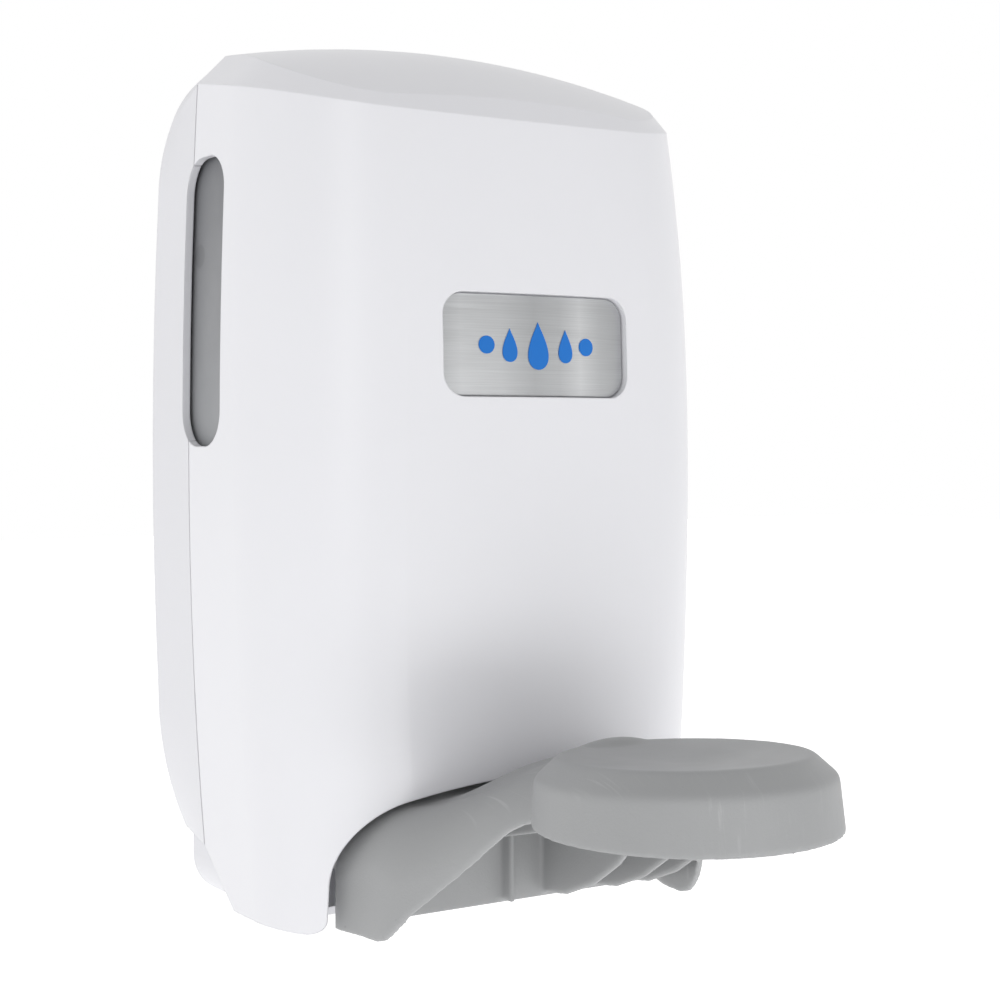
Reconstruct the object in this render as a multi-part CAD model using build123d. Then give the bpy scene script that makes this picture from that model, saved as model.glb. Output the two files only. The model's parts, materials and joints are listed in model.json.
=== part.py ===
"""Wall mounted elbow-operated soap dispenser, modelled as separate pieces.

Frame: X across the dispenser, Y into the wall (the wall plane is Y = 0 and the front faces -Y), Z up.
The origin is the centre of the four wall-screw holes, on the wall plane. All sizes are millimetres.
Heights in this file are counted from the foot of the front cover and turned into Z by up().
"""

from build123d import *
from math import asin, cos, pi, radians, sin, sqrt
import os

os.makedirs("parts", exist_ok=True)

# ---------------------------------------------------------------- driving dimensions
FOOT_Z = -132.0  # the cover's foot, below the wall-screw centre

# outer form of the casing
HALF_WIDTH = 83.5  # widest half width, at BELLY_H
FRONT = 114.0  # deepest point of the front, at BELLY_H
BELLY_H = 150.0
TAPER_LOW, TAPER_HIGH = 3103.0, 4266.0  # half width falls by (height difference squared) / these
LEAN_LOW, LEAN_HIGH = 11000.0, 1420.0  # front depth falls the same way
CORNER_R_LOW, CORNER_R_HIGH = 42.0, 47.0  # plan radius of the front corners, at the foot and at RIM_H
BOW_R = 260.0  # plan radius of the front face
WALL = 2.6  # moulded wall thickness

# top: a shallow dome with a bevelled rim that falls towards the front
DOME_PEAK_H, DOME_PEAK_Y = 284.1, -19.6
DOME_PROFILE_R, DOME_CROWN_R = 142.0, 334.0
RIM_H, RIM_TILT = 265.6, 9.6  # height of the bevel's lower crease at the seam, and its fall to the front

# seam between the wall unit and the cover
SEAM_Y = -32.0
SEAM_BREAK_H = 18.0  # below this the seam runs diagonally forward to the foot
SEAM_FOOT_Y = -51.0
SEAM_GAP = 0.5

# lower tray of the wall unit, set in so that the cover's legs can swing past it
TRAY_HALF, TRAY_BOTTOM_H, TRAY_CORNER_R = 67.5, -6.0, 14.0
TRAY_FRONT_Y = -50.0

# arch in the cover
ARCH_HALF, ARCH_CORNER_R, ARCH_CORNER_H, ARCH_CROWN_H = 66.0, 26.0, 15.5, 46.0
FOOT_R = 5.0

# side slots and sight windows
SLOT_REAR_Y, SLOT_FRONT_Y, SLOT_LOW_H, SLOT_HIGH_H, SLOT_R = -27.0, -56.0, 148.0, 241.0, 11.5
WINDOW_MARGIN, WINDOW_OUT, WINDOW_THICK = 5.0, 3.9, 1.8
WINDOW_STEP_Y = -22.0  # behind this the panel steps inward to clear the tapering wall unit

# nameplate, bent to the front's bow
PLATE_W, PLATE_TALL, PLATE_H, PLATE_R = 68.4, 31.4, 179.6, 6.8
PLATE_RECESS, PLATE_THICK, TAPE_THICK = 2.2, 0.8, 0.4

# cover hinge
HINGE_Y, HINGE_H, HINGE_PIN_R = -42.0, 17.0, 2.5

# lever pivot
PIVOT_Y, PIVOT_H, PIVOT_PIN_R = -72.0, 32.0, 3.0
BUSH_R = 4.6
RUN = 0.05  # radial running clearance

# lever
LEG_HALF, LEG_REAR_Y, LEG_FOOT_H = 59.0, -88.7, 1.0
PADDLE_R, PADDLE_Y, PADDLE_LOW_H, PADDLE_EDGE_H, PADDLE_TOP_H = 44.0, -185.0, 42.0, 56.0, 62.2
PADDLE_TILT = 2.5  # degrees, front edge up
LEVER_WALL = 2.4

# pump and refill, on one vertical axis
PUMP_Y = -62.0
SHELF_H, SHELF_THICK = 66.0, 4.0
CARRIAGE_H, CARRIAGE_THICK = 36.0, 3.5
RAIL_X, RAIL_W, RAIL_DEPTH = 30.0, 6.0, 10.0
BACK_WALL = 3.0

# wall screws
SCREW_DX, SCREW_DZ, SCREW_HOLE_R = 45.0, 75.0, 2.6

# key lock in the top of the wall unit
LOCK_Y, LOCK_R = -18.0, 6.0


def up(height):
    """Z of a height above the cover's foot."""
    return FOOT_Z + height


# ---------------------------------------------------------------- shared helpers
def box(x, y, h):
    """A box from three (low, high) pairs, the last one in heights above the foot."""
    size = (x[1] - x[0], y[1] - y[0], h[1] - h[0])
    centre = ((x[0] + x[1]) / 2, (y[0] + y[1]) / 2, up((h[0] + h[1]) / 2))
    return Pos(*centre) * Box(*size)


def rod_x(x0, x1, y, h, r):
    """A round bar along X."""
    return Pos((x0 + x1) / 2, y, up(h)) * Rot(0, 90, 0) * Cylinder(r, abs(x1 - x0))


def rod_y(x, y0, y1, h, r):
    """A round bar along Y."""
    return Pos(x, (y0 + y1) / 2, up(h)) * Rot(90, 0, 0) * Cylinder(r, abs(y1 - y0))


def rod_z(x, y, h0, h1, r):
    """A round upright bar."""
    return Pos(x, y, up((h0 + h1) / 2)) * Cylinder(r, h1 - h0)


def side_prism(points, half_x):
    """A prism across X from a (y, height) outline."""
    outline = Polyline([(0, y, up(h)) for y, h in points], close=True)
    return extrude(make_face(outline), amount=half_x, dir=(1, 0, 0), both=True)


def slot_prism(y0, y1, h0, h1, r, half_x):
    """A prism across X with a rounded-rectangle outline in Y and height."""
    plane = Plane(origin=(0, (y0 + y1) / 2, up((h0 + h1) / 2)), x_dir=(0, 1, 0), z_dir=(1, 0, 0))
    face = plane * RectangleRounded(abs(y1 - y0), h1 - h0, r)
    return extrude(face, amount=half_x, dir=(1, 0, 0), both=True)


def front_prism(face, y0, y1):
    """Pushes a sketch drawn in (x, height) along Y, from y0 to y1."""
    plane = Plane(origin=(0, y0, FOOT_Z), x_dir=(1, 0, 0), z_dir=(0, -1, 0))
    return extrude(plane * face, amount=y0 - y1, dir=(0, -1, 0))


def mirror_x(shape):
    return mirror(shape, about=Plane.YZ)


def coil(r, wire_r, h0, h1, turns, x, y):
    """A compression spring standing between two heights."""
    rise = h1 - h0 - 2 * wire_r
    path = Helix(pitch=rise / turns, height=rise, radius=r)
    start = path @ 0
    section = Plane(origin=start, z_dir=path % 0) * Circle(wire_r)
    return Pos(x, y, up(h0) + wire_r) * sweep(section, path=path, is_frenet=True)


def ring(h0, h1, r_out, r_in, y=PUMP_Y):
    return rod_z(0, y, h0, h1, r_out) - rod_z(0, y, h0 - 1, h1 + 1, r_in)


def save(name, shape):
    """Writes a node as one STEP of its solids."""
    solids = shape.solids()
    export_step(solids[0] if len(solids) == 1 else Compound(solids), f"parts/{name}.step")
    print(name, len(solids), round(sum(s.volume for s in solids)))


# ---------------------------------------------------------------- outer form
def half_width(height):
    fall = TAPER_LOW if height < BELLY_H else TAPER_HIGH
    return HALF_WIDTH - (height - BELLY_H) ** 2 / fall


def front_depth(height):
    fall = LEAN_LOW if height < BELLY_H else LEAN_HIGH
    return FRONT - (height - BELLY_H) ** 2 / fall


def corner_radius(height):
    return CORNER_R_LOW + (CORNER_R_HIGH - CORNER_R_LOW) * height / RIM_H


def plan_face(height, inset, rear_y=0.0):
    """Plan of the casing at a height: straight sides, round corners and a bowed front."""
    half, front = half_width(height) - inset, front_depth(height) - inset
    r, bow = corner_radius(height) - inset, BOW_R - inset
    beta = asin((half - r) / (bow - r))
    cy = -front + bow - (bow - r) * cos(beta)
    joint = (bow * sin(beta), -front + bow - bow * cos(beta))
    mid = (pi / 2 - beta) / 2
    corner = (half - r + r * cos(mid), cy - r * sin(mid))
    outline = [
        Line((-half, rear_y), (half, rear_y)),
        Line((half, rear_y), (half, cy)),
        ThreePointArc((half, cy), corner, joint),
        ThreePointArc(joint, (0, -front), (-joint[0], joint[1])),
        ThreePointArc((-joint[0], joint[1]), (-corner[0], corner[1]), (-half, cy)),
        Line((-half, cy), (-half, rear_y)),
    ]
    return make_face(outline)


def casing_sides(inset):
    """The casing's side and front surface as one tall smooth solid."""
    heights = (-12, 40, 95, 150, 205, 255, 300)
    faces = [Pos(0, 0, up(h)) * plan_face(h, inset) for h in heights]
    return loft(faces)


def dome(inset):
    """Everything under the domed top, as a barrel turned about an axis along Y."""
    axis_h = DOME_PEAK_H - DOME_CROWN_R
    r = DOME_PROFILE_R - inset
    centre_h = DOME_PEAK_H - DOME_PROFILE_R

    def at(y):
        return (0, y, up(centre_h + sqrt(r**2 - (y - DOME_PEAK_Y) ** 2)))

    rear, front = 20.0, -135.0
    outline = [
        ThreePointArc(at(rear), at(DOME_PEAK_Y), at(front)),
        Line(at(front), (0, front, up(axis_h))),
        Line((0, front, up(axis_h)), (0, rear, up(axis_h))),
        Line((0, rear, up(axis_h)), at(rear)),
    ]
    return revolve(make_face(outline), axis=Axis((0, 0, up(axis_h)), (0, 1, 0)))


def rim_bevel(inset):
    """Everything under the 45 degree bevel round the top, tilted down towards the front."""
    reach_out, reach_in = 34.0, 30.0
    drop = inset * (sqrt(2) - 1)
    low = Pos(0, 0, -reach_out - drop) * plan_face(RIM_H - 9, inset - reach_out)
    high = Pos(0, 0, reach_in - drop) * plan_face(RIM_H - 9, inset + reach_in)
    slopes = loft([low, high], ruled=True)
    base = Pos(0, -70, -reach_out - drop - 150) * Box(400, 300, 300.02)
    roof = slopes + base
    hinge = Pos(0, SEAM_Y, up(RIM_H))
    return hinge * Rot(RIM_TILT, 0, 0) * Pos(0, -SEAM_Y, 0) * roof


def seam_cut(gap):
    """Everything behind the seam, which turns diagonally forward at the bottom."""
    y, foot = SEAM_Y - gap, SEAM_FOOT_Y - gap
    points = [(60, 400), (y, 400), (y, SEAM_BREAK_H - gap), (foot, -0.6), (foot - 8, -14), (60, -14)]
    return side_prism(points, 120)


# ---------------------------------------------------------------- wall unit
def shell_outline(y, inset, wall_end):
    """Elevation of the wall unit above the tray, at the wall or at the seam."""
    i = inset
    low_h = SEAM_BREAK_H + (i if i else 0)
    if wall_end:
        sides = [(70.4, low_h), (77.0, 37.5), (80.4, 66), (82.4, 150), (80.4, 231), (78.9, 246), (75.6, 257.5)]
        shoulder = [(71.8, 265.5), (66.0, 272.6)]
        crown = 281.5
    else:
        sides = [(half_width(h), h) for h in (low_h, 40, 66, 150, 231, 248, RIM_H)]
        corner = (69.4, 276.3)
        shoulder = [((half_width(RIM_H) + corner[0]) / 2, (RIM_H + corner[1]) / 2), corner]
        crown = 283.6

    def p(x, h, drop=0.0):
        return (x - i, y, up(h - drop))

    right = [p(x, h) for x, h in sides] + [p(x, h, i) for x, h in shoulder]
    right[6] = p(*sides[6], i * 0.4)
    left = [(-x, yy, z) for x, yy, z in right]
    edges = [Line(left[0], right[0])]
    edges += [ThreePointArc(right[k], right[k + 1], right[k + 2]) for k in (0, 2, 4)]
    edges += [Line(right[6], right[8]) if not wall_end else ThreePointArc(*right[6:9])]
    edges += [ThreePointArc(right[8], (0, y, up(crown - i)), left[8])]
    edges += [Line(left[8], left[6]) if not wall_end else ThreePointArc(left[8], left[7], left[6])]
    edges += [ThreePointArc(left[k + 2], left[k + 1], left[k]) for k in (4, 2, 0)]
    return make_face(edges)


def tray_outline(inset):
    """Elevation of the set-in tray: a rounded trough."""
    half, low = TRAY_HALF - inset, TRAY_BOTTOM_H + inset
    r = TRAY_CORNER_R - inset
    tall = 60.0
    trough = Pos(0, low + tall / 2) * RectangleRounded(2 * half, tall, r)
    return trough


def back_plate():
    upper = loft([shell_outline(0, 0, True), shell_outline(SEAM_Y, 0, False)], ruled=True)
    hollow = loft(
        [shell_outline(-BACK_WALL, WALL, True), shell_outline(SEAM_Y - 0.4, WALL, False)], ruled=True
    )
    tray = front_prism(tray_outline(0), 0, -80)
    side = [(0, SEAM_BREAK_H), (SEAM_Y, SEAM_BREAK_H), (TRAY_FRONT_Y, 0.4), (TRAY_FRONT_Y, -20), (0, -20)]
    tray &= side_prism(side, 100)
    trough = front_prism(tray_outline(WALL), -BACK_WALL, -90)
    body = upper + tray - hollow - trough

    # lugs that carry the cover's hinge pins
    lug_x = (61.0, TRAY_HALF)
    lug = rod_x(*lug_x, HINGE_Y, HINGE_H, 6.0)
    web = side_prism([(HINGE_Y + 18, 16), (HINGE_Y, 23), (HINGE_Y - 5.5, 14), (HINGE_Y - 3, 6), (-26, 0)], 100)
    lug += web & box(lug_x, (-80, 0), (-20, 40))
    for side_of in (lug, mirror_x(lug)):
        body += side_of

    # rails for the pump carriage, screw bosses for the shelf, and the sleeve of the key lock
    for sx in (-1, 1):
        x = sx * RAIL_X
        body += box((x - RAIL_W / 2, x + RAIL_W / 2), (-BACK_WALL - RAIL_DEPTH, -1), (20, 62))
        body += rod_y(sx * 36, -1, -14, 84, 4.5)
    body += rod_z(0, LOCK_Y, 266, 282, 9.0)

    # upright stiffening ribs behind the refill
    for x in (-20, 20):
        body += box((x - 1, x + 1), (-6, -1), (100, 236))

    # holes
    for sx in (-1, 1):
        for sz in (-1, 1):
            z = sz * SCREW_DZ - FOOT_Z
            body -= rod_y(sx * SCREW_DX, 5, -20, z, SCREW_HOLE_R)
        body -= rod_y(sx * 36, -4, -20, 84, 1.95)
        body -= rod_x(sx * 50, sx * 90, HINGE_Y, HINGE_H, HINGE_PIN_R)
    body -= rod_z(0, LOCK_Y, 240, 320, LOCK_R + RUN)
    body -= slot_prism(SLOT_REAR_Y, SLOT_FRONT_Y, SLOT_LOW_H, SLOT_HIGH_H, SLOT_R, 120)
    return body


def sight_windows():
    """Two smoked panels behind the side slots, following the casing's side."""
    m, out, step = WINDOW_MARGIN, WINDOW_OUT, WINDOW_STEP_Y
    middle, inner = out + WINDOW_THICK, out + 2 * WINDOW_THICK
    shape = slot_prism(20, SLOT_FRONT_Y - m, SLOT_LOW_H - m, SLOT_HIGH_H + m, SLOT_R + m / 2, 120)
    pane = (casing_sides(out) - casing_sides(middle)) & box((40, 120), (-100, step), (0, 300))
    web = (casing_sides(out) - casing_sides(inner)) & box((40, 120), (step - 2, step), (0, 300))
    foot = (casing_sides(middle) - casing_sides(inner)) & box((40, 120), (step - 2, -BACK_WALL), (0, 300))
    right = (pane + web + foot) & shape
    return mirror_x(right), right


def hinge_pins():
    return [rod_x(s * 61.0, s * 75.2, HINGE_Y, HINGE_H, HINGE_PIN_R) for s in (-1, 1)]


def refill_shelf():
    low, high = SHELF_H, SHELF_H + SHELF_THICK
    shelf = box((-50, 50), (-98, -14), (low, high))
    shelf += box((-46, 46), (-17, -14), (low, 92))
    for x in (-48, 46):
        shelf += side_prism([(-14, 92), (-17, 92), (-60, high), (-60, low), (-14, low)], 100) & box(
            (x, x + 2), (-100, 0), (0, 200)
        )
    shelf -= rod_z(0, PUMP_Y, 50, 80, 17.3)
    shelf -= box((-17.3, 17.3), (-120, PUMP_Y), (50, 80))
    for sx in (-1, 1):
        shelf += rod_z(sx * 44, -46, 54, low, 2.6)
        shelf -= rod_y(sx * 36, -5, -30, 84, 2.2)
    corners = shelf.edges().filter_by(Axis.Z).group_by(Axis.Y)[0]
    return fillet(corners, 3)


def shelf_screws():
    screws = []
    for sx in (-1, 1):
        screw = rod_y(sx * 36, -6, -17.2, 84, 1.9) + rod_y(sx * 36, -17, -19.6, 84, 3.8)
        screw -= box((sx * 36 - 3, sx * 36 + 3), (-21, -18.4), (83.5, 84.5))
        screw -= box((sx * 36 - 0.5, sx * 36 + 0.5), (-21, -18.4), (81, 87))
        screws.append(screw)
    return screws


# ---------------------------------------------------------------- refill and pump
def bottle_form(inset):
    """Body of the refill bottle with a round neck hanging from it."""
    width, depth, low, high = 128.0, 84.0, 96.0, 246.0
    plan = RectangleRounded(width - 2 * inset, depth - 2 * inset, 26 - inset)
    body = Pos(0, -51, up(low + inset)) * extrude(plan, amount=high - low - 2 * inset)
    rims = body.edges().filter_by(GeomType.LINE, reverse=True) + body.edges().filter_by(Plane.XY)
    return fillet(list(set(rims)), 9 - inset)


def refill_bottle():
    wall = 1.4
    bottle = bottle_form(0) + rod_z(0, PUMP_Y, 74, 100, 14.5)
    bottle -= bottle_form(wall)
    bottle -= rod_z(0, PUMP_Y, 70, 100, 12.9)
    return bottle


def pump_collar():
    collar = rod_z(0, PUMP_Y, 63, 66, 20) + rod_z(0, PUMP_Y, 66, 70, 17) + rod_z(0, PUMP_Y, 70, 74, 21.5)
    collar += rod_z(0, PUMP_Y, 74, 90, 17.5)
    collar -= rod_z(0, PUMP_Y, 72, 95, 14.6)
    collar -= rod_z(0, PUMP_Y, 60, 95, 9.1)
    for k in range(24):
        a = radians(15 * k)
        collar -= rod_z(17.9 * cos(a), PUMP_Y + 17.9 * sin(a), 76, 95, 0.8)
    return collar


def pump_cylinder():
    tube = rod_z(0, PUMP_Y, 53, 94, 9) + rod_z(0, PUMP_Y, 72, 73.8, 14)
    tube -= rod_z(0, PUMP_Y, 50, 92, 7.4)
    return tube - rod_z(0, PUMP_Y, 90, 97, 2.0)


def inlet_ball():
    return Pos(0, PUMP_Y, up(90.6)) * Sphere(2.4)


def pump_spring():
    return coil(10.9, 0.5, 43.0, 63.0, 5, 0, PUMP_Y)


def pump_piston():
    piston = rod_z(0, PUMP_Y, 43, 75, 4.5) + rod_z(0, PUMP_Y, 73, 79, 7.2)
    piston -= ring(75, 77.4, 9, 6.2)
    return piston - rod_z(0, PUMP_Y, 40, 85, 1.8)


def piston_seal():
    return ring(75, 77.4, 7.35, 6.2)


def nozzle_head():
    low = CARRIAGE_H + CARRIAGE_THICK
    head = rod_z(0, PUMP_Y, low, 43, 15) + rod_z(0, PUMP_Y, 20, low, 8)
    tip = Pos(0, PUMP_Y, up(17)) * Cone(6.0, 8.0, 6)
    head += tip
    return head - rod_z(0, PUMP_Y, 10, 45, 3.4)


def nozzle_valve():
    """Soft duckbill in the nozzle's mouth: a flange, and two lips that meet in a slit."""
    body = rod_z(0, PUMP_Y, 12.6, 14.0, 5.2)
    bill = rod_z(0, PUMP_Y, 7.5, 12.6, 3.3)
    wedge = side_prism([(PUMP_Y - 5, 12.6), (PUMP_Y + 5, 12.6), (PUMP_Y + 0.9, 6), (PUMP_Y - 0.9, 6)], 10)
    return body + (bill & wedge) - box((-2.4, 2.4), (PUMP_Y - 0.15, PUMP_Y + 0.15), (5, 13))


def pump_carriage():
    """Fork that lifts the nozzle head, with runners on the rails and ears over the lever's fingers."""
    low, high = CARRIAGE_H, CARRIAGE_H + CARRIAGE_THICK
    plate = box((-58, 58), (-52, -41), (low, high)) + box((-37, 37), (-41, -14.2), (low, high))
    plate += box((-21, 21), (-80, -41), (low, high))
    plate -= rod_z(0, PUMP_Y, 30, 50, 9.2) + box((-9.2, 9.2), (-100, PUMP_Y), (30, 50))
    plate -= box((-20, 20), (-34, -10), (30, 50))
    play = 0.35
    for sx in (-1, 1):
        x = sx * RAIL_X
        runner = box((x - 7, x + 7), (-17.5, -BACK_WALL - 0.8), (28, 50))
        runner -= box(
            (x - RAIL_W / 2 - play, x + RAIL_W / 2 + play), (-BACK_WALL - RAIL_DEPTH - play, 0), (20, 70)
        )
        web = side_prism([(-17.5, 28), (-17.5, 36), (-50, 36), (-50, 33)], 100)
        plate += runner + (web & box((x - 1.2, x + 1.2), (-60, 0), (0, 60)))
        plate += box((sx * 56 - 1.2, sx * 56 + 1.2), (-52, -41), (low, high + 3))
        plate += ring(high, high + 2.5, 6.8, 5.5, y=-46).moved(Pos(sx * 44, 0, 0))
    return plate


def return_springs():
    return [coil(3.9, 0.6, CARRIAGE_H + CARRIAGE_THICK, SHELF_H, 7, sx * 44, -46) for sx in (-1, 1)]


# ---------------------------------------------------------------- key lock
def lock_barrel():
    barrel = rod_z(0, LOCK_Y, 259, 282.4, LOCK_R) + rod_z(0, LOCK_Y, 262.5, 265.5, 8.0)
    barrel += rod_z(0, LOCK_Y, 253.0, 259, 2.5)
    return barrel - box((-0.8, 0.8), (LOCK_Y - 4, LOCK_Y + 4), (276, 290))


def lock_cam():
    """Tongue under the barrel: forward when open, turned to the side when locked."""
    cam = rod_z(0, LOCK_Y, 256, 259, 7.5) + box((-3.5, 3.5), (LOCK_Y - 19, LOCK_Y), (256, 259))
    cam = fillet(cam.edges().filter_by(Axis.Z).group_by(Axis.Y)[0], 2.5)
    return cam - rod_z(0, LOCK_Y, 250, 265, 2.5)


def lock_nut():
    nut = Pos(0, LOCK_Y, up(254)) * extrude(RegularPolygon(5.0, 6), amount=2.0)
    return nut - rod_z(0, LOCK_Y, 250, 260, 2.5)


# ---------------------------------------------------------------- cover
def arch_face():
    """Opening for the lever, together with everything under the cover's feet."""
    cx, ch, r = ARCH_HALF - ARCH_CORNER_R, ARCH_CORNER_H, ARCH_CORNER_R
    lean = radians(75)
    shoulder = (cx + r * cos(lean), ch + r * sin(lean))
    bend = (cx + r * cos(lean / 2), ch + r * sin(lean / 2))
    floor = -40.0
    outline = [
        Line((-140, floor), (140, floor)),
        Line((140, floor), (140, 0)),
        Line((140, 0), (ARCH_HALF + FOOT_R, 0)),
        RadiusArc((ARCH_HALF + FOOT_R, 0), (ARCH_HALF, FOOT_R), FOOT_R),
        Line((ARCH_HALF, FOOT_R), (ARCH_HALF, ch)),
        ThreePointArc((ARCH_HALF, ch), bend, shoulder),
        ThreePointArc(shoulder, (0, ARCH_CROWN_H), (-shoulder[0], shoulder[1])),
        ThreePointArc((-shoulder[0], shoulder[1]), (-bend[0], bend[1]), (-ARCH_HALF, ch)),
        Line((-ARCH_HALF, ch), (-ARCH_HALF, FOOT_R)),
        RadiusArc((-ARCH_HALF, FOOT_R), (-ARCH_HALF - FOOT_R, 0), FOOT_R),
        Line((-ARCH_HALF - FOOT_R, 0), (-140, 0)),
        Line((-140, 0), (-140, floor)),
    ]
    return make_face(outline)


def plate_prism(grow, y0=-90.0, y1=-135.0):
    face = Pos(0, PLATE_H) * RectangleRounded(PLATE_W + 2 * grow, PLATE_TALL + 2 * grow, PLATE_R + grow)
    return front_prism(face, y0, y1)


def front_cover():
    outer = casing_sides(0) & dome(0) & rim_bevel(0)
    inner = casing_sides(WALL) & dome(WALL) & rim_bevel(WALL)
    pocket = PLATE_RECESS + PLATE_THICK + TAPE_THICK
    cover = outer - inner - seam_cut(SEAM_GAP)
    backing = (plate_prism(3) & casing_sides(WALL - 0.2)) - casing_sides(pocket + 1.8)
    cover += backing
    cover -= plate_prism(0.4) - casing_sides(pocket)
    cover -= front_prism(arch_face(), 10, -140)
    cover -= slot_prism(SLOT_REAR_Y, SLOT_FRONT_Y, SLOT_LOW_H, SLOT_HIGH_H, SLOT_R, 120)

    # hinge ears and lever bosses on the inner faces of the legs
    inside = casing_sides(WALL - 0.4)
    hinge_ear = rod_x(68.1, 90, HINGE_Y, HINGE_H, 5.5)
    boss = rod_x(62.2, 90, PIVOT_Y, PIVOT_H, 7.5)
    web = box((68.1, 90), (PIVOT_Y - 1.2, PIVOT_Y + 1.2), (PIVOT_H, PIVOT_H + 24))
    fittings = (hinge_ear + boss + web) & inside
    fittings -= seam_cut(SEAM_GAP) & box((73.6, 120), (-200, 100), (-100, 400))
    cover += fittings + mirror_x(fittings)
    for s in (-1, 1):
        cover -= rod_x(s * 60, s * 75.4, HINGE_Y, HINGE_H, HINGE_PIN_R + RUN)
        cover -= rod_x(s * 60, s * 72.6, PIVOT_Y, PIVOT_H, PIVOT_PIN_R)

    # post under the dome for the lock's catch
    post = box((9, 18), (-52, -44), (262, 300)) & dome(WALL - 0.4) & rim_bevel(WALL - 0.4)
    return cover + post - rod_z(13.5, -48, 255, 269, 1.4)


def nameplate(out, thick, shrink):
    """A bent plate between two depths behind the front surface."""
    return (plate_prism(-shrink) & casing_sides(out)) - casing_sides(out + thick)


def lever_pins():
    return [rod_x(s * 50.4, s * 72.4, PIVOT_Y, PIVOT_H, PIVOT_PIN_R) for s in (-1, 1)]


def lock_catch():
    """Stirrup that reaches back from the cover: the turned cam stands inside it."""
    frame = box((12, 15), (-54, -9), (251, 262)) - box((0, 30), (-40, -13), (254.5, 260.5))
    frame -= box((0, 30), (-13.01, -9), (251, 252))
    foot = box((9, 18), (-54, -43), (259.2, 262))
    return frame + foot - rod_z(13.5, -48, 240, 259.2, 3.2) - rod_z(13.5, -48, 250, 270, 1.6)


def catch_screw():
    screw = rod_z(13.5, -48, 258.2, 268.5, 1.4) + rod_z(13.5, -48, 256.8, 259.2, 2.8)
    return screw - box((10, 17), (-48.4, -47.6), (256, 257.6))


# ---------------------------------------------------------------- elbow lever
def lever_section(y, base, side_h, shoulder, shoulder_h, crown_h, inset):
    """Elevation of the lever at one depth: upright sides, round shoulders and a crowned top."""
    base, shoulder = base - inset, shoulder - 0.8 * inset
    shoulder_h, crown_h = shoulder_h - 0.7 * inset, crown_h - inset
    bend = (base - 0.28 * (base - shoulder), y, up(side_h + 0.68 * (shoulder_h - side_h)))
    low, side, top = (base, y, up(-30)), (base, y, up(side_h)), (shoulder, y, up(shoulder_h))

    def left(point):
        return (-point[0], point[1], point[2])

    outline = [
        Line(left(low), low),
        Line(low, side),
        ThreePointArc(side, bend, top),
        ThreePointArc(top, (0, y, up(crown_h)), left(top)),
        ThreePointArc(left(top), left(bend), left(side)),
        Line(left(side), left(low)),
    ]
    return make_face(outline)


def lever_neck(inset):
    """Hood, legs and neck: one loft from the arch forward into the paddle."""
    sections = [
        (LEG_REAR_Y + (4 if inset else 0), 59.0, 22.0, 41.0, 39.6, 44.0),
        (-106.0, 59.0, 21.5, 40.5, 39.8, 44.4),
        (-113.5, 58.5, 20.5, 39.5, 40.2, 45.0),
        (-119.0, 57.5, 19.0, 36.0, 42.0, 49.0),
        (-131.0, 50.0, 21.0, 31.0, 46.5, 54.4),
        (-144.0, 40.0, 28.0, 27.0, 52.0, 58.6),
        (-157.0, 34.0, 36.0, 24.5, 55.5, 59.9),
        (-176.0, 33.0, 40.0, 24.0, 56.0, 59.2),
    ]
    return loft([lever_section(*row, inset) for row in sections])


def paddle(inset):
    """Round pad with a tapered skirt, a bevelled edge and a slightly dished top, tilted up at the front."""
    r, low = PADDLE_R - inset, PADDLE_LOW_H - (40 if inset else 6)
    edge, top = PADDLE_EDGE_H - 0.4 * inset, PADDLE_TOP_H - inset
    corners = [(0, low), (r + 0.5, low), (r - 1.2, edge), (r - 8.0, top), (r - 20.0, top - 0.9)]
    corners += [(5, top - 2.0), (0, top - 2.0)]
    profile = make_face(Polyline(*[(x, 0, h - PADDLE_EDGE_H) for x, h in corners], close=True))
    rounded = [v for v in profile.vertices() if v.X > r - 21 and v.Z > low + 1 - PADDLE_EDGE_H]
    pad = revolve(fillet(rounded, 3.0), axis=Axis.Z)
    return Pos(0, PADDLE_Y, up(PADDLE_EDGE_H)) * Rot(-PADDLE_TILT, 0, 0) * pad


def lever_underside():
    """Everything above the lever's lower edge, seen from the side."""
    points = [(-60, 1), (-111, 1), (-115.5, 2.2), (-119, 5.4), (-129, 16), (-142, 30.5), (-149, 37.5)]
    points += [(-154, 40.4), (-160, PADDLE_LOW_H), (-240, PADDLE_LOW_H), (-240, 90), (-60, 90)]
    return side_prism(points, 90)


def lever_block(inset):
    """The lever as a full block, set in by a wall thickness for its cavity."""
    block = lever_neck(inset) + paddle(inset)
    return block if inset else block & lever_underside()


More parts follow.
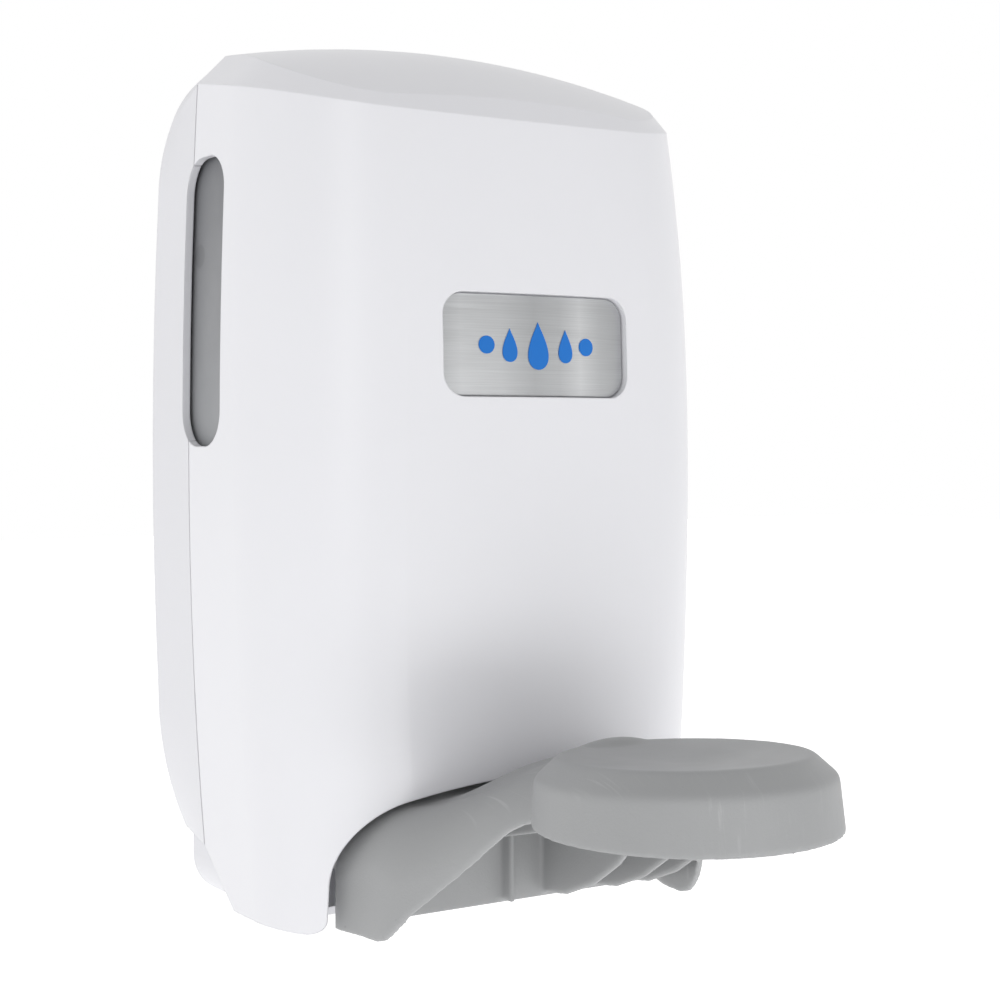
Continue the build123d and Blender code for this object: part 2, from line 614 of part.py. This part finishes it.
def elbow_lever():
    lever = lever_block(0) - lever_block(LEVER_WALL)

    # rear cross wall, and ribs under the neck and paddle: deep ones on the right, shallow on the left
    frame = box((-LEG_HALF + 1, LEG_HALF - 1), (-91.2, LEG_REAR_Y), (LEG_FOOT_H, 60))
    frame += box((-1, 1), (-97, -91), (2, 60))
    top = [(-205, 50), (-205, 70), (-90, 70)]
    deep = side_prism([(-90, 2), (-104, 4), (-119, 10), (-132, 18.5), (-142, 28), (-152, 41)] + top, 70)
    shallow = side_prism([(-90, 22), (-140, 34), (-150, 41)] + top, 70)
    for x in (16, 36, 49):
        frame += deep & box((x - 0.9, x + 0.9), (-210, -90), (0, 80))
        frame += shallow & box((-x - 0.9, -x + 0.9), (-210, -90), (0, 80))
    frame += box((-40, 40), (-186, -184), (50, 80))
    lever += frame & lever_block(0.8)

    # arms back to the pivot, hubs, and the round-nosed fingers that lift the carriage
    arm = side_prism([(-90, 4), (-83, 8), (-76, 22), (-63, 26), (-63, 40), (-76, 40), (-90, 32)], 120)
    finger = side_prism([(-72, 27), (-47, 28.8), (-47, 34.6), (-56, 34.4), (-72, 38)], 120)
    side = arm & box((51, 55.2), (-120, 0), (-20, 100))
    side += rod_x(51.4, 61.6, PIVOT_Y, PIVOT_H, 8.5)
    side += finger & box((52, 57.4), (-120, 0), (-20, 100))
    side += rod_x(52, 57.4, -46, PIVOT_H + 0.1, 3.5)
    lever += side + mirror_x(side)
    for s in (-1, 1):
        lever -= rod_x(s * 40, s * 70, PIVOT_Y, PIVOT_H, BUSH_R)
    return lever


def lever_bushes():
    bushes = []
    for s in (-1, 1):
        bush = rod_x(s * 51.4, s * 61.6, PIVOT_Y, PIVOT_H, BUSH_R)
        bushes.append(bush - rod_x(s * 40, s * 70, PIVOT_Y, PIVOT_H, PIVOT_PIN_R + RUN))
    return bushes


def all_parts():
    left_window, right_window = sight_windows()
    tape_depth = PLATE_RECESS + PLATE_THICK
    return {
        "back_plate": back_plate(),
        "sight_window_left": left_window,
        "sight_window_right": right_window,
        "hinge_pins": Compound(hinge_pins()),
        "refill_shelf": refill_shelf(),
        "shelf_screws": Compound(shelf_screws()),
        "refill_bottle": refill_bottle(),
        "pump_collar": pump_collar(),
        "pump_cylinder": pump_cylinder(),
        "inlet_ball": inlet_ball(),
        "pump_spring": pump_spring(),
        "pump_piston": pump_piston(),
        "piston_seal": piston_seal(),
        "nozzle_head": nozzle_head(),
        "nozzle_valve": nozzle_valve(),
        "pump_carriage": pump_carriage(),
        "return_springs": Compound(return_springs()),
        "lock_barrel": lock_barrel(),
        "lock_cam": lock_cam(),
        "lock_nut": lock_nut(),
        "front_cover": front_cover(),
        "nameplate": nameplate(PLATE_RECESS, PLATE_THICK, 0.1),
        "nameplate_tape": nameplate(tape_depth, TAPE_THICK, 2.0),
        "lever_pins": Compound(lever_pins()),
        "lock_catch": lock_catch(),
        "catch_screw": catch_screw(),
        "elbow_lever": elbow_lever(),
        "lever_bushes": Compound(lever_bushes()),
    }


for node, solid in all_parts().items():
    save(node, solid)
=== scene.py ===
"""Wall mounted soap dispenser: materials, nameplate mark, stage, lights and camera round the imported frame."""
import json
import math

import bmesh
import bpy
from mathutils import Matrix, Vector
from mathutils.bvhtree import BVHTree


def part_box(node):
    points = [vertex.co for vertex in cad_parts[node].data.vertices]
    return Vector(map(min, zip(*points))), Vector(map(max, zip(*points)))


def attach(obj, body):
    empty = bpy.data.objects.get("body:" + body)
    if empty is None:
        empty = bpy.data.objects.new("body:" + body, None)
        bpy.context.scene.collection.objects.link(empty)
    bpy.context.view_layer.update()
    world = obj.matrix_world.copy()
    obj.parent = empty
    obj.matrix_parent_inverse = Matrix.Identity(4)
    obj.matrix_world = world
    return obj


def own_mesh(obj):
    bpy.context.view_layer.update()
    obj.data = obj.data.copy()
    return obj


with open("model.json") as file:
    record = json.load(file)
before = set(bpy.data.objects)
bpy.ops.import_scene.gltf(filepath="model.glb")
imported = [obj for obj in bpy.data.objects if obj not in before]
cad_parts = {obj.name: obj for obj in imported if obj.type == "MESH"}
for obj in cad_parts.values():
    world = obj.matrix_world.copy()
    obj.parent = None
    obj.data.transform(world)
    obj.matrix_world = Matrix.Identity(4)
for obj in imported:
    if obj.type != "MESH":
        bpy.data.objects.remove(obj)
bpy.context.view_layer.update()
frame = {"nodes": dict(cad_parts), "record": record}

NODES = frame["nodes"]


# ---------------------------------------------------------------- camera
YAW_DEG = 33.0
CAMERA_PLACE = (-0.3374, -0.6087, 0.0203)
LENS_MM = 68.98
SHIFT_Y = -0.067


def make_camera():
    data = bpy.data.cameras.new("camera")
    data.lens = LENS_MM
    data.sensor_width = 36.0
    data.shift_y = SHIFT_Y
    data.clip_start = 0.01
    cam = bpy.data.objects.new("camera", data)
    cam.location = CAMERA_PLACE
    cam.rotation_euler = (math.radians(90.0), 0.0, -math.radians(YAW_DEG))
    bpy.context.scene.collection.objects.link(cam)
    bpy.context.scene.camera = cam


# ---------------------------------------------------------------- material helpers
class Maker:
    """A node material under construction: short calls for the nodes used below."""

    def __init__(self, name):
        self.mat = bpy.data.materials.new(name)
        self.mat.use_nodes = True
        self.nodes = self.mat.node_tree.nodes
        self.links = self.mat.node_tree.links
        self.bsdf = self.nodes["Principled BSDF"]
        self.space = self.node("ShaderNodeTexCoord").outputs["Object"]

    def node(self, kind, **props):
        made = self.nodes.new(kind)
        for key, value in props.items():
            setattr(made, key, value)
        return made

    def link(self, source, target):
        self.links.new(source, target)

    def scaled(self, scale, turn=(0.0, 0.0, 0.0)):
        """Object coordinates in metres, scaled per axis."""
        mapping = self.node("ShaderNodeMapping")
        mapping.inputs["Scale"].default_value = scale
        mapping.inputs["Rotation"].default_value = turn
        self.link(self.space, mapping.inputs["Vector"])
        return mapping.outputs["Vector"]

    def noise(self, scale, detail=3.0, rough=0.5, vector=None):
        made = self.node("ShaderNodeTexNoise")
        made.inputs["Scale"].default_value = scale
        made.inputs["Detail"].default_value = detail
        made.inputs["Roughness"].default_value = rough
        self.link(vector if vector is not None else self.space, made.inputs["Vector"])
        return made.outputs["Fac"]

    def ramp(self, source, stops):
        """Colour ramp from (position, (r, g, b)) stops."""
        made = self.node("ShaderNodeValToRGB")
        ramp = made.color_ramp
        while len(ramp.elements) < len(stops):
            ramp.elements.new(0.5)
        for element, (place, colour) in zip(ramp.elements, stops):
            element.position = place
            element.color = (*colour, 1.0)
        self.link(source, made.inputs["Fac"])
        return made.outputs["Color"]

    def span(self, source, low, high, start=0.0, end=1.0):
        """Maps start..end of a value to low..high."""
        made = self.node("ShaderNodeMapRange")
        made.inputs["From Min"].default_value = start
        made.inputs["From Max"].default_value = end
        made.inputs["To Min"].default_value = low
        made.inputs["To Max"].default_value = high
        self.link(source, made.inputs["Value"])
        return made.outputs["Result"]

    def math(self, operation, a, b):
        made = self.node("ShaderNodeMath", operation=operation)
        for socket, value in zip(made.inputs, (a, b)):
            if isinstance(value, float):
                socket.default_value = value
            else:
                self.link(value, socket)
        return made.outputs["Value"]

    def mix(self, factor, a, b):
        made = self.node("ShaderNodeMix", data_type="RGBA")
        self.link(factor, made.inputs["Factor"])
        for socket, value in ((made.inputs["A"], a), (made.inputs["B"], b)):
            if isinstance(value, tuple):
                socket.default_value = (*value, 1.0)
            else:
                self.link(value, socket)
        return made.outputs["Result"]

    def surface(self, height, distance, edge=0.0):
        """Bump from a height field, over edges rounded by a small radius."""
        bump = self.node("ShaderNodeBump")
        bump.inputs["Distance"].default_value = distance
        self.link(height, bump.inputs["Height"])
        if edge:
            bevel = self.node("ShaderNodeBevel", samples=4)
            bevel.inputs["Radius"].default_value = edge
            self.link(bevel.outputs["Normal"], bump.inputs["Normal"])
        self.link(bump.outputs["Normal"], self.bsdf.inputs["Normal"])

    def set(self, **values):
        for key, value in values.items():
            socket = self.bsdf.inputs[key.replace("_", " ").title().replace("Ior", "IOR")]
            if isinstance(value, (float, int)):
                socket.default_value = value
            elif isinstance(value, tuple):
                socket.default_value = (*value, 1.0)
            else:
                self.link(value, socket)
        return self


def moulded(name, colour, roughness, grain=1500.0, depth=0.00003, drift=0.03, edge=0.0006, gloss=0.04):
    """Injection moulded plastic: fine grain, slow colour drift and slightly uneven gloss."""
    m = Maker(name)
    slow = m.noise(14.0, 4.0)
    fine = m.noise(grain, 2.0)
    light = tuple(min(1.0, c * (1.0 + drift)) for c in colour)
    dark = tuple(c * (1.0 - drift) for c in colour)
    m.set(base_color=m.ramp(slow, [(0.3, dark), (0.7, light)]))
    m.set(roughness=m.span(m.noise(30.0, 2.0), roughness - gloss, roughness + gloss, 0.1, 0.9))
    m.surface(fine, depth, edge)
    return m


def scuffed_lever():
    """Textured grey plastic with pale hairline scuffs and small marks."""
    base, pale, dark = (0.345, 0.350, 0.355), (0.47, 0.475, 0.48), (0.22, 0.225, 0.23)
    m = Maker("lever_plastic")
    worn, fresh = tuple(c * 0.95 for c in base), tuple(c * 1.04 for c in base)
    colour = m.ramp(m.noise(11.0, 5.0), [(0.25, worn), (0.75, fresh)])
    scuffs = []
    for angle, stretch in ((0.5, 900.0), (-0.9, 700.0), (1.9, 1100.0)):
        streak = m.noise(1.0, 2.0, 0.5, m.scaled((stretch, 28.0, 60.0), (0.0, 0.0, angle)))
        scuffs.append(m.span(streak, 0.0, 1.0, 0.66, 0.74))
    lines = m.math("MAXIMUM", m.math("MAXIMUM", scuffs[0], scuffs[1]), scuffs[2])
    patches = m.span(m.noise(22.0, 3.0), 0.0, 0.75, 0.46, 0.66)
    marks = m.math("MULTIPLY", lines, patches)
    colour = m.mix(marks, colour, pale)
    specks = m.span(m.noise(420.0, 2.0), 0.0, 0.5, 0.76, 0.82)
    colour = m.mix(specks, colour, dark)
    m.set(base_color=colour)
    gloss = m.span(m.noise(40.0, 4.0), 0.44, 0.56, 0.3, 0.7)
    m.set(roughness=m.math("ADD", gloss, m.math("MULTIPLY", marks, 0.15)))
    m.surface(m.noise(1300.0, 2.0), 0.00006, 0.0012)
    return m


def brushed_plate():
    """Steel brushed across, with soft upright light and dark bands painted into its colour as painted
    reflections of a bent polished sheet.
    """
    m = Maker("brushed_steel_plate")
    hair = m.noise(1.0, 4.0, 0.6, m.scaled((28.0, 400.0, 5200.0)))
    split = m.node("ShaderNodeSeparateXYZ")
    m.link(m.space, split.inputs["Vector"])
    across = m.span(split.outputs["X"], 0.0, 1.0, -0.0345, 0.0345)
    # painted reflection: light and dark upright bands across the plate's width, standing in for reflected
    # surroundings
    painted_reflection_bands = m.ramp(across, [
        (0.00, (0.60, 0.61, 0.62)), (0.10, (0.74, 0.75, 0.76)), (0.30, (0.70, 0.71, 0.72)),
        (0.48, (0.58, 0.59, 0.60)), (0.62, (0.65, 0.66, 0.67)), (0.74, (0.84, 0.85, 0.86)),
        (0.86, (0.67, 0.68, 0.69)), (1.00, (0.57, 0.58, 0.59)),
    ])
    streaks = m.ramp(hair, [(0.30, (0.86, 0.86, 0.86)), (0.70, (1.0, 1.0, 1.0))])
    # the painted reflection bands multiplied by the brushed hairlines
    painted_reflection_and_hair = m.node("ShaderNodeMix", data_type="RGBA", blend_type="MULTIPLY")
    painted_reflection_and_hair.inputs["Factor"].default_value = 1.0
    m.link(painted_reflection_bands, painted_reflection_and_hair.inputs["A"])
    m.link(streaks, painted_reflection_and_hair.inputs["B"])
    m.set(base_color=painted_reflection_and_hair.outputs["Result"], metallic=1.0, roughness=m.span(hair, 0.32, 0.46, 0.3, 0.7))
    m.surface(hair, 0.000012)
    return m


def metal(name, colour, roughness, grain=(900.0, 900.0, 900.0)):
    m = Maker(name)
    hair = m.noise(1.0, 3.0, 0.5, m.scaled(grain))
    low = tuple(c * 0.9 for c in colour)
    m.set(base_color=m.ramp(hair, [(0.3, low), (0.7, colour)]), metallic=1.0)
    m.set(roughness=m.span(hair, roughness - 0.05, roughness + 0.08, 0.3, 0.7))
    m.surface(hair, 0.00002, 0.0002)
    return m


# two faint round marks on each window: their places along the wall unit, and their height
WINDOW_MARK_Y, WINDOW_MARK_Z = (-0.0525, -0.0305), 0.078


def smoked_window():
    """Smoked, finely frosted clear plastic, with painted shade that darkens it towards the top."""
    m = Maker("smoked_window")
    split = m.node("ShaderNodeSeparateXYZ")
    m.link(m.space, split.inputs["Vector"])
    # painted shade: the colour darkens with height, standing in for the dimmer inside seen through the top of
    # the window; the noise adds random tone
    painted_shade_rise = m.span(split.outputs["Z"], 0.0, 1.0, 0.01, 0.11)
    painted_shade_rise = m.math("ADD", painted_shade_rise, m.span(m.noise(35.0, 4.0), -0.08, 0.08))
    low, middle, high = (0.40, 0.41, 0.425), (0.31, 0.315, 0.33), (0.22, 0.225, 0.24)
    colour = m.ramp(painted_shade_rise, [(0.0, low), (0.6, middle), (1.0, high)])
    flat = m.scaled((0.0, 1.0, 1.0))
    for y in WINDOW_MARK_Y:
        away = m.node("ShaderNodeVectorMath", operation="DISTANCE")
        away.inputs[1].default_value = (0.0, y, WINDOW_MARK_Z)
        m.link(flat, away.inputs[0])
        colour = m.mix(m.span(away.outputs["Value"], 0.35, 0.0, 0.0034, 0.0042), colour, (0.16, 0.16, 0.17))
    m.set(base_color=colour)
    m.set(roughness=m.span(m.noise(160.0, 3.0), 0.30, 0.42, 0.3, 0.7), transmission_weight=0.25, ior=1.46)
    m.surface(m.noise(900.0, 2.0), 0.00003, 0.0006)
    return m


def milky_bottle():
    m = moulded("bottle_plastic", (0.80, 0.80, 0.77), 0.34, 500.0, 0.00008, 0.03, 0.001)
    m.set(transmission_weight=0.2, ior=1.45)
    return m


def make_materials():
    return {
        "shell_white": moulded("shell_plastic", (0.735, 0.735, 0.765), 0.42, 1500.0, 0.00003, 0.010, 0.0008),
        "cover_white": moulded(
            "cover_plastic", (0.795, 0.795, 0.825), 0.32, 1200.0, 0.00002, 0.006, 0.0007, 0.015
        ),
        "window_smoke": smoked_window(),
        "pin_steel": metal("ground_steel", (0.72, 0.72, 0.73), 0.22, (4000.0, 200.0, 200.0)),
        "screw_steel": metal("zinc_steel", (0.62, 0.62, 0.61), 0.34),
        "spring_steel": metal("spring_wire", (0.55, 0.55, 0.56), 0.30),
        "inner_grey": moulded("inner_plastic", (0.58, 0.59, 0.60), 0.45),
        "bottle_white": milky_bottle(),
        "collar_white": moulded("collar_plastic", (0.84, 0.84, 0.84), 0.38),
        "pump_white": moulded("pump_plastic", (0.82, 0.83, 0.84), 0.35),
        "seal_rubber": moulded("seal_rubber", (0.06, 0.06, 0.065), 0.62, 900.0, 0.00006, 0.1),
        "plate_steel": brushed_plate(),
        "tape_grey": moulded("tape_foam", (0.35, 0.35, 0.35), 0.85, 700.0, 0.0002, 0.08),
        "lever_grey": scuffed_lever(),
        "bush_white": moulded("bush_acetal", (0.86, 0.86, 0.84), 0.30),
    }


LEVER_VOXEL, LEVER_SMOOTH_ROUNDS = 0.0006, 9


def soften(node, voxel, rounds):
    """Rounds every crease of a moulded node with a fine remesh and a light smoothing."""
    weld = node.modifiers.new("weld", "WELD")
    weld.merge_threshold = 0.00001
    remesh = node.modifiers.new("remesh", "REMESH")
    remesh.mode = "VOXEL"
    remesh.voxel_size = voxel
    remesh.use_smooth_shade = True
    smooth = node.modifiers.new("smooth", "SMOOTH")
    smooth.factor = 0.5
    smooth.iterations = rounds


def squash_spring(name):
    """Gives the spring node its own copy of its mesh; the spring is not shortened."""
    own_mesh(NODES[name])


def dress_nodes():
    made = make_materials()
    for part in frame["record"]["subparts"]:
        node = NODES[part["node"]]
        node.data.materials.clear()
        node.data.materials.append(made[part["material_slot"]].mat)


# ---------------------------------------------------------------- mark on the nameplate
def drop_outline(height, points=48):
    """Outline of a falling drop, point up, about its own centre."""
    outline = []
    for k in range(points):
        t = 2.0 * math.pi * k / points
        outline.append((0.36 * height * math.sin(t) * math.sin(t / 2.0) ** 1.4, 0.5 * height * math.cos(t)))
    return outline


def ring_outline(radius, points=40):
    turns = [2 * math.pi * k / points for k in range(points)]
    return [(radius * math.sin(t), radius * math.cos(t)) for t in turns]


def mark_piece(name, outline, x, z, tree, material):
    """A thin printed shape lying on the plate's front face."""
    mesh = bmesh.new()
    lift, thick = 0.00008, 0.00012
    loops = []
    for depth in (lift, lift + thick):
        loop = []
        for px, pz in outline:
            hit = tree.ray_cast(Vector((x + px, -0.2, z + pz)), Vector((0.0, 1.0, 0.0)))[0]
            loop.append(mesh.verts.new((x + px, hit.y - depth, z + pz)))
        loops.append(loop)
    mesh.faces.new(loops[1])
    mesh.faces.new(list(reversed(loops[0])))
    count = len(outline)
    for k in range(count):
        mesh.faces.new((loops[0][k], loops[0][(k + 1) % count], loops[1][(k + 1) % count], loops[1][k]))
    bmesh.ops.recalc_face_normals(mesh, faces=mesh.faces)
    data = bpy.data.meshes.new(name)
    mesh.to_mesh(data)
    mesh.free()
    data.materials.append(material)
    piece = bpy.data.objects.new(name, data)
    bpy.context.scene.collection.objects.link(piece)
    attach(piece, "cover")
    return piece


def make_mark():
    """A generic mark in blue: a soap drop between smaller drops and bubbles."""
    plate = NODES["nameplate"]
    low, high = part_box("nameplate")
    centre_z = (low.z + high.z) / 2.0
    verts = [v.co.copy() for v in plate.data.vertices]
    faces = [tuple(p.vertices) for p in plate.data.polygons]
    tree = BVHTree.FromPolygons(verts, faces)
    ink = moulded("mark_blue", (0.0, 0.16, 0.58), 0.38, 1500.0, 0.00001, 0.06, 0.0)
    marks = [
        ("drop_mid", drop_outline(0.0150), 0.0),
        ("drop_left", drop_outline(0.0105), -0.0105),
        ("drop_right", drop_outline(0.0105), 0.0105),
        ("bubble_left", ring_outline(0.0028), -0.0188),
        ("bubble_right", ring_outline(0.0028), 0.0188),
    ]
    for name, outline, x in marks:
        mark_piece("mark_" + name, outline, x, centre_z, tree, ink.mat)


# ---------------------------------------------------------------- stage and light
FLOOR_Z = -0.36
# direction axis, from, to, strength at from, strength at to
WORLD_SPANS = (("Z", 0.36, 0.85, 1.0, 0.85), ("Y", 0.25, -0.35, 1.0, 0.56))


def make_floor():
    mesh = bpy.data.meshes.new("floor")
    half = 6.0
    corners = [(-half, -half, FLOOR_Z), (half, -half, FLOOR_Z), (half, half, FLOOR_Z), (-half, half, FLOOR_Z)]
    mesh.from_pydata(corners, [], [(0, 1, 2, 3)])
    floor = bpy.data.objects.new("floor", mesh)
    bpy.context.scene.collection.objects.link(floor)
    m = Maker("floor_white")
    m.set(base_color=m.ramp(m.noise(3.0), [(0.3, (0.93, 0.93, 0.93)), (0.7, (0.95, 0.95, 0.95))]))
    m.set(roughness=0.9, emission_color=(1.0, 1.0, 1.0), emission_strength=0.50)
    mesh.materials.append(m.mat)


def make_world():
    """White backdrop behind the object, dimmer overhead and on the camera's side."""
    world = bpy.data.worlds.new("studio")
    bpy.context.scene.world = world
    world.use_nodes = True
    nodes, links = world.node_tree.nodes, world.node_tree.links
    split = nodes.new("ShaderNodeSeparateXYZ")
    links.new(nodes.new("ShaderNodeTexCoord").outputs["Generated"], split.inputs["Vector"])
    strength = nodes.new("ShaderNodeMath")
    strength.operation = "MULTIPLY"
    for k, (axis, start, end, low, high) in enumerate(WORLD_SPANS):
        span = nodes.new("ShaderNodeMapRange")
        span.inputs["From Min"].default_value = start
        span.inputs["From Max"].default_value = end
        span.inputs["To Min"].default_value = low
        span.inputs["To Max"].default_value = high
        links.new(split.outputs[axis], span.inputs["Value"])
        links.new(span.outputs["Result"], strength.inputs[k])
    links.new(strength.outputs["Value"], nodes["Background"].inputs["Strength"])
    nodes["Background"].inputs["Color"].default_value = (1.0, 1.0, 1.0, 1.0)


def area_light(name, place, target, size, power):
    data = bpy.data.lights.new(name, "AREA")
    data.shape = "RECTANGLE"
    data.size, data.size_y = size
    data.energy = power
    light = bpy.data.objects.new(name, data)
    light.location = place
    aim = Vector(target) - Vector(place)
    light.rotation_euler = aim.to_track_quat("-Z", "Y").to_euler()
    bpy.context.scene.collection.objects.link(light)


def make_lights():
    area_light("key", (-1.1, -1.4, 0.5), (0.0, -0.05, 0.0), (0.5, 1.3), 3.0)
    area_light("low", (0.15, -1.0, -0.33), (0.0, -0.1, 0.0), (0.6, 0.3), 2.0)


scene = bpy.context.scene
scene.view_settings.view_transform = "Standard"
make_camera()
make_world()
make_floor()
make_lights()
dress_nodes()
soften(NODES["elbow_lever"], LEVER_VOXEL, LEVER_SMOOTH_ROUNDS)
make_mark()
squash_spring("pump_spring")
squash_spring("return_springs")

bpy.context.view_layer.update()
